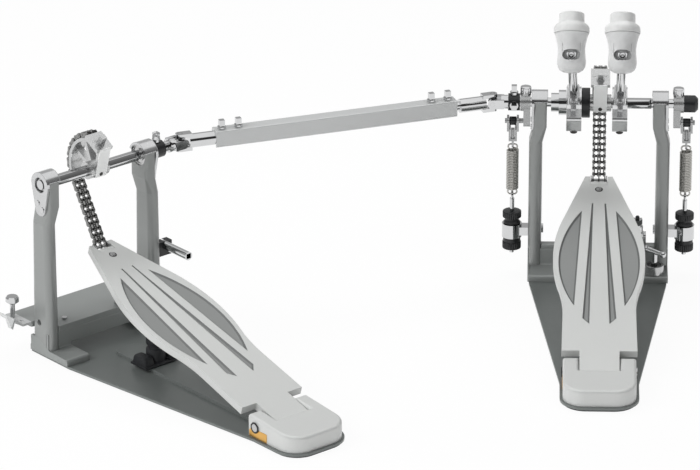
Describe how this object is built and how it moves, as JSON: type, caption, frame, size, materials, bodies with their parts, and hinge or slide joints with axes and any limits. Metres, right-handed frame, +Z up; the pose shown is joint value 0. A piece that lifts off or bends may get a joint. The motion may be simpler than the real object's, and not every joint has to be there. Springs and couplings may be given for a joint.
{
  "type": "double bass drum pedal",
  "caption": "Double bass drum pedal: a main pedal with sprung twin beaters and a slave pedal that turns one of them through a drive shaft with universal joints.",
  "frame": {"origin": "on the floor under the middle of the main pedal's shaft", "axes": "+X along the main shaft to the player's right, +Y towards the drum, +Z up"},
  "size_m": [0.7138, 0.5225, 0.3266],
  "materials": {
    "base_paint": "metallic grey paint",
    "post_paint": "satin metallic grey",
    "board_paint": "fine silver paint",
    "pad_rubber": "matt black",
    "bright_chrome": "polished",
    "bearing_steel": "bright steel",
    "chain_steel": "nickel plated",
    "channel_silver": "satin",
    "black_plastic": "satin black",
    "beater_grey": "pale grey",
    "beater_pad": "pale grey"
  },
  "bodies": {
    "frames": {"base_plates": "base_paint", "base_pads": "pad_rubber", "frame_castings": "base_paint", "posts": "post_paint", "bearing_caps": "bright_chrome", "ball_bearings": "bearing_steel", "heel_plates": "board_paint", "heel_hinges": "bearing_steel", "frame_screws": "bright_chrome", "bumpers": "pad_rubber", "spring_anchors": "bright_chrome", "outrigger": "channel_silver", "key_clip": "black_plastic", "clamp_lugs": "bright_chrome"},
    "hoop_jaw": {"hoop_jaw": "bright_chrome"},
    "wing_bolt": {"wing_bolt": "bright_chrome"},
    "outrigger_spur": {"outrigger_spur": "bright_chrome"},
    "drum_key": {"drum_key": "bright_chrome"},
    "right_nuts": {"right_tension_nuts": "black_plastic"},
    "left_nuts": {"left_tension_nuts": "black_plastic"},
    "main_board": {"main_footboard": "board_paint", "main_toe_clip": "bright_chrome"},
    "slave_board": {"slave_footboard": "board_paint", "slave_toe_clip": "bright_chrome"},
    "main_axle": {"main_shaft": "bright_chrome", "main_sprocket": "bright_chrome", "main_chain_wrap": "chain_steel", "right_beater_hub": "bright_chrome", "right_beater_rod": "bright_chrome", "right_beater_head": "beater_grey", "right_beater_pad": "beater_pad", "right_rocker": "bright_chrome", "shaft_caps": "black_plastic"},
    "main_links_upper": {"main_chain_upper": "chain_steel"},
    "main_links_lower": {"main_chain_lower": "chain_steel"},
    "main_run": {"main_chain_run": "chain_steel"},
    "sleeve_axle": {"sleeve": "bright_chrome", "left_beater_hub": "bright_chrome", "left_beater_rod": "bright_chrome", "left_beater_head": "beater_grey", "left_beater_pad": "beater_pad", "left_rocker": "bright_chrome", "sleeve_collar": "black_plastic", "sleeve_bolts": "bright_chrome"},
    "drive": {"drive_rods": "bright_chrome", "drive_channel": "channel_silver", "drive_bolts": "bright_chrome"},
    "main_cross": {"main_cross": "bright_chrome"},
    "slave_cross": {"slave_cross": "bright_chrome"},
    "slave_axle": {"slave_shaft": "bright_chrome", "slave_sprocket": "bright_chrome", "slave_chain_wrap": "chain_steel", "slave_collar": "black_plastic"},
    "slave_links_upper": {"slave_chain_upper": "chain_steel"},
    "slave_links_lower": {"slave_chain_lower": "chain_steel"},
    "slave_run": {"slave_chain_run": "chain_steel"},
    "right_swing": {"right_spring": "bearing_steel"},
    "right_hanger": {"right_hanger": "bright_chrome"},
    "left_swing": {"left_spring": "bearing_steel"},
    "left_hanger": {"left_hanger": "bright_chrome"}
  },
  "joints": [
    {"name": "main_press", "type": "hinge", "parent": "frames", "child": "main_board", "pos_m": [0, -0.299, 0.016], "axis": [1, 0, 0], "range_deg": [-6.84, 0], "stiffness_Nm_per_rad": 6, "springref_deg": 25.78},
    {"name": "main_shaft", "type": "hinge", "parent": "frames", "child": "main_axle", "pos_m": [0, 0, 0.19], "axis": [1, 0, 0], "range_deg": [-46.7, 0.05]},
    {"name": "main_chain_upper", "type": "hinge", "parent": "main_axle", "child": "main_links_upper", "pos_m": [0, 0.03164, 0.20805], "axis": [1, 0, 0], "range_deg": [-0.05, 15.05]},
    {"name": "main_chain_lower", "type": "hinge", "parent": "main_links_upper", "child": "main_links_lower", "pos_m": [0, 0.03643, 0.18981], "axis": [1, 0, 0], "range_deg": [-0.05, 30.05]},
    {"name": "main_chain_run", "type": "hinge", "parent": "main_board", "child": "main_run", "pos_m": [0, -0.007, 0.10583], "axis": [1, 0, 0], "range_deg": [-0.05, 20.25]},
    {"name": "slave_press", "type": "hinge", "parent": "frames", "child": "slave_board", "pos_m": [-0.31296, -0.41837, 0.016], "axis": [0.7431, 0.6691, 0], "range_deg": [-6.84, 0], "stiffness_Nm_per_rad": 6, "springref_deg": 25.78},
    {"name": "slave_shaft", "type": "hinge", "parent": "frames", "child": "slave_axle", "pos_m": [-0.51303, -0.19617, 0.19], "axis": [0.7431, 0.6691, 0], "range_deg": [-46.7, 0.05]},
    {"name": "slave_chain_upper", "type": "hinge", "parent": "slave_axle", "child": "slave_links_upper", "pos_m": [-0.53421, -0.17265, 0.20805], "axis": [0.7431, 0.6691, 0], "range_deg": [-0.05, 15.05]},
    {"name": "slave_chain_lower", "type": "hinge", "parent": "slave_links_upper", "child": "slave_links_lower", "pos_m": [-0.53741, -0.16909, 0.18981], "axis": [0.7431, 0.6691, 0], "range_deg": [-0.05, 30.05]},
    {"name": "slave_chain_run", "type": "hinge", "parent": "slave_board", "child": "slave_run", "pos_m": [-0.50835, -0.20137, 0.10583], "axis": [0.7431, 0.6691, 0], "range_deg": [-0.05, 20.25]},
    {"name": "drive_turn", "type": "hinge", "parent": "frames", "child": "drive", "pos_m": [-0.112, 0, 0.19], "axis": [0.9336, 0.3584, 0], "range_deg": [-48.7, 0.05]},
    {"name": "sleeve_turn", "type": "hinge", "parent": "frames", "child": "sleeve_axle", "pos_m": [0, 0, 0.19], "axis": [1, 0, 0], "range_deg": [-46.7, 0.05]},
    {"name": "main_cross_pivot", "type": "hinge", "parent": "sleeve_axle", "child": "main_cross", "pos_m": [-0.112, 0, 0.19], "axis": [0, 1, 0], "range_deg": [-15.65, 0.05]},
    {"name": "slave_cross_pivot", "type": "hinge", "parent": "slave_axle", "child": "slave_cross", "pos_m": [-0.43128, -0.12256, 0.19], "axis": [-0.6691, 0.7431, 0], "range_deg": [-0.05, 15.65]},
    {"name": "right_spring_swing", "type": "hinge", "parent": "frames", "child": "right_swing", "pos_m": [0.0905, -0.00347, 0.0878], "axis": [1, 0, 0], "range_deg": [-0.05, 8.3]},
    {"name": "right_spring_stretch", "type": "slide", "parent": "right_swing", "child": "right_hanger", "axis": [0, 0, 1], "range_m": [-0.0001, 0.0098], "deforming": ["right_spring"]},
    {"name": "right_nut_turn", "type": "hinge", "parent": "frames", "child": "right_nuts", "pos_m": [0.0905, -0.00347, 0.048], "axis": [0, 0, 1], "continuous": true},
    {"name": "left_spring_swing", "type": "hinge", "parent": "frames", "child": "left_swing", "pos_m": [-0.0905, -0.00347, 0.0878], "axis": [1, 0, 0], "range_deg": [-0.05, 8.3]},
    {"name": "left_spring_stretch", "type": "slide", "parent": "left_swing", "child": "left_hanger", "axis": [0, 0, 1], "range_m": [-0.0001, 0.0098], "deforming": ["left_spring"]},
    {"name": "left_nut_turn", "type": "hinge", "parent": "frames", "child": "left_nuts", "pos_m": [-0.0905, -0.00347, 0.048], "axis": [0, 0, 1], "continuous": true},
    {"name": "jaw_pivot", "type": "hinge", "parent": "frames", "child": "hoop_jaw", "pos_m": [0.041, -0.007, 0.043], "axis": [1, 0, 0], "range_deg": [-8, 8]},
    {"name": "wing_turn", "type": "hinge", "parent": "frames", "child": "wing_bolt", "pos_m": [0.059, -0.032, 0.036], "axis": [0, 0, 1], "continuous": true},
    {"name": "spur_turn", "type": "hinge", "parent": "frames", "child": "outrigger_spur", "pos_m": [-0.59828, -0.22179, 0.04], "axis": [0, 0, 1], "continuous": true},
    {"name": "key_slide", "type": "slide", "parent": "frames", "child": "drum_key", "axis": [0.6691, -0.7431, 0], "range_m": [0, 0.04]}
  ],
  "couplings": [
    {"joint": "main_shaft", "follows": "main_press", "ratio": 6.8203},
    {"joint": "main_chain_upper", "follows": "main_press", "ratio": -2.193},
    {"joint": "main_chain_lower", "follows": "main_press", "ratio": -4.3859},
    {"joint": "main_chain_run", "follows": "main_press", "ratio": -2.9514},
    {"joint": "slave_shaft", "follows": "slave_press", "ratio": 6.8203},
    {"joint": "slave_chain_upper", "follows": "slave_press", "ratio": -2.193},
    {"joint": "slave_chain_lower", "follows": "slave_press", "ratio": -4.3859},
    {"joint": "slave_chain_run", "follows": "slave_press", "ratio": -2.9514},
    {"joint": "drive_turn", "follows": "slave_press", "ratio": 7.1069},
    {"joint": "sleeve_turn", "follows": "slave_press", "ratio": 6.8203},
    {"joint": "main_cross_pivot", "follows": "slave_press", "ratio": 2.2802},
    {"joint": "slave_cross_pivot", "follows": "slave_press", "ratio": -2.2802},
    {"joint": "right_spring_swing", "follows": "main_press", "ratio": -1.2069},
    {"joint": "right_spring_stretch", "follows": "main_press", "m_per_rad": -0.08088},
    {"joint": "left_spring_swing", "follows": "slave_press", "ratio": -1.2069},
    {"joint": "left_spring_stretch", "follows": "slave_press", "m_per_rad": -0.08088}
  ]
}
